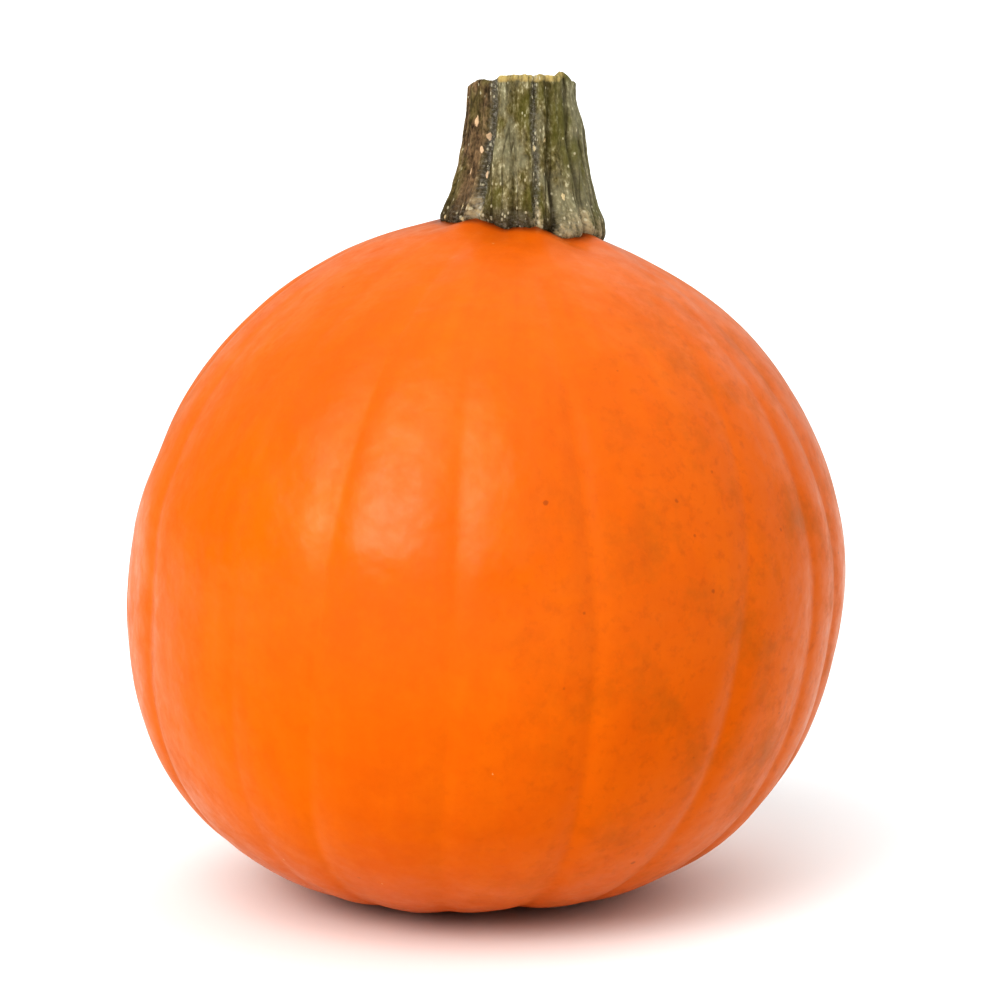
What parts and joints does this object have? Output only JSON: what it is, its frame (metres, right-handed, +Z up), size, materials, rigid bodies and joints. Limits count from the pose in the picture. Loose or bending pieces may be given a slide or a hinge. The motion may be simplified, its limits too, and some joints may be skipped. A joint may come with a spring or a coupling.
{
  "type": "pie pumpkin",
  "caption": "Small round orange pie pumpkin with shallow ribs, a flattened resting spot and a dry furrowed stem.",
  "frame": {"origin": "on the surface that the pumpkin rests on, under the centre of its bounding box", "axes": "+Z up towards the stem, -Y the front, +X the side that the fruit's axis leans to"},
  "size_m": [0.1504, 0.1478, 0.1728],
  "materials": {
    "rind": "satin",
    "dry_stem": "matte"
  },
  "bodies": {
    "root": {"fruit": "rind", "stem": "dry_stem"}
  },
  "joints": []
}
